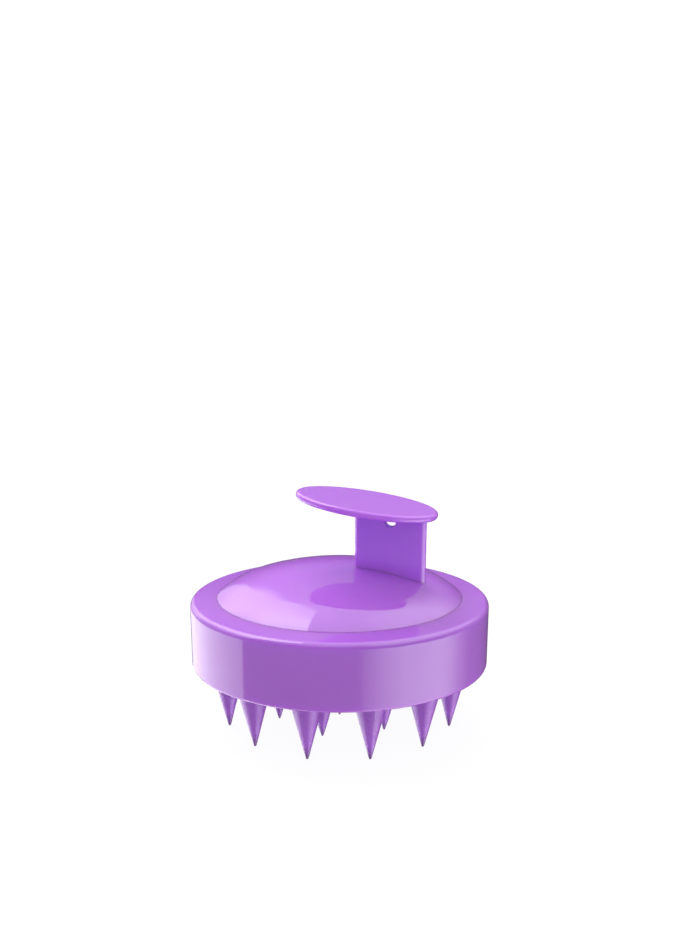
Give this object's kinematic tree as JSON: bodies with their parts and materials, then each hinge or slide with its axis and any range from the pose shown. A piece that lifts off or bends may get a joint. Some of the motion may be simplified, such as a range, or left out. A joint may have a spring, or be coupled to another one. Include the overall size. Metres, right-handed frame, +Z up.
{
  "type": "curry comb",
  "caption": "Palm-held curry comb: a round drum with a low domed top, cone teeth under it and a T-shaped finger grip with a hanging hole.",
  "frame": {"origin": "on the drum's axis, in the plane of the tooth tips", "axes": "+Z up along the drum's axis; +X in the grip's plane of symmetry, towards its post"},
  "size_m": [0.08, 0.08, 0.0631],
  "materials": {
    "body_plastic": "gloss",
    "pad_rubber": "satin",
    "inner_plastic": "moulded matte",
    "steel": "plated",
    "seal_rubber": "matte"
  },
  "bodies": {
    "root": {"finger_grip": "body_plastic", "dome_cover": "body_plastic", "drum_shell": "body_plastic", "tooth_pad": "pad_rubber", "backing_plate": "inner_plastic", "grip_clamp_plate": "inner_plastic", "grip_pins": "steel", "body_screws": "steel", "screw_washers": "steel", "rim_seal": "seal_rubber"}
  },
  "joints": []
}
